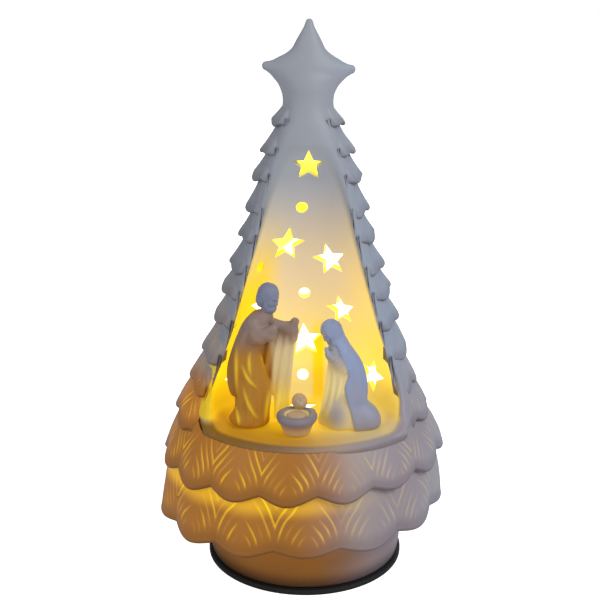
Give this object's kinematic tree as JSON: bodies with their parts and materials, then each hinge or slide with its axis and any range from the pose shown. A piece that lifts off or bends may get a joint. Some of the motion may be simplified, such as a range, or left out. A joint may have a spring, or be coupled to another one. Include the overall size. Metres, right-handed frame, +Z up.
{
  "type": "lit porcelain christmas tree",
  "caption": "Porcelain tree with scalloped boughs, a star on top and a lit niche that holds small cast figures; a battery light plugs into its foot.",
  "frame": {"origin": "middle of the foot's anti-slip ring, on the surface the tree stands on", "axes": "+Z up through the star, -Y out of the niche towards the viewer, +X to the viewer's right"},
  "size_m": [0.1432, 0.1446, 0.26],
  "materials": {
    "bisque_porcelain": "satin",
    "black_rubber": "matte",
    "cream_rubber": "matte",
    "white_plastic": "satin",
    "frosted_plastic": "frosted",
    "led_resin": "gloss",
    "green_board": "satin",
    "resistor_body": "satin",
    "cell_jacket": "satin",
    "steel": "satin",
    "black_plastic": "matte",
    "red_sleeve": "satin",
    "black_sleeve": "satin"
  },
  "bodies": {
    "root": {"tree_shell": "bisque_porcelain", "standing_figure": "bisque_porcelain", "kneeling_figure": "bisque_porcelain", "manger": "bisque_porcelain", "infant": "bisque_porcelain", "anti_slip_ring": "black_rubber"},
    "light_unit": {"light_gasket": "cream_rubber", "light_housing": "white_plastic", "light_cover": "white_plastic", "diffuser_dome": "frosted_plastic", "led_1": "led_resin", "led_2": "led_resin", "led_3": "led_resin", "led_4": "led_resin", "circuit_board": "green_board", "resistor": "resistor_body", "board_screw_1": "steel", "board_screw_2": "steel", "board_screw_3": "steel", "battery_1": "cell_jacket", "battery_2": "cell_jacket", "battery_3": "cell_jacket", "contact_spring_1": "steel", "contact_spring_2": "steel", "contact_spring_3": "steel", "contact_plate_1": "steel", "contact_plate_2": "steel", "contact_plate_3": "steel", "contact_plate_4": "steel", "switch_body": "black_plastic", "red_lead": "red_sleeve", "black_lead": "black_sleeve", "switch_lead": "black_sleeve"},
    "battery_door": {"battery_door": "white_plastic"},
    "door_screw": {"door_screw": "steel"},
    "switch_knob": {"switch_knob": "black_plastic"}
  },
  "joints": [
    {"name": "light_unit_slide", "type": "slide", "parent": "root", "child": "light_unit", "axis": [0, 0, -1], "range_m": [0, 0.04]},
    {"name": "battery_door_hinge", "type": "hinge", "parent": "light_unit", "child": "battery_door", "pos_m": [0, 0.02515, 0.0021], "axis": [1, 0, 0], "range_deg": [0, 100]},
    {"name": "door_screw_turn", "type": "hinge", "parent": "battery_door", "child": "door_screw", "pos_m": [0, -0.02785, 0.001], "axis": [0, 0, 1], "continuous": true},
    {"name": "switch_knob_slide", "type": "slide", "parent": "light_unit", "child": "switch_knob", "axis": [0, -1, 0], "range_m": [0, 0.003]}
  ]
}
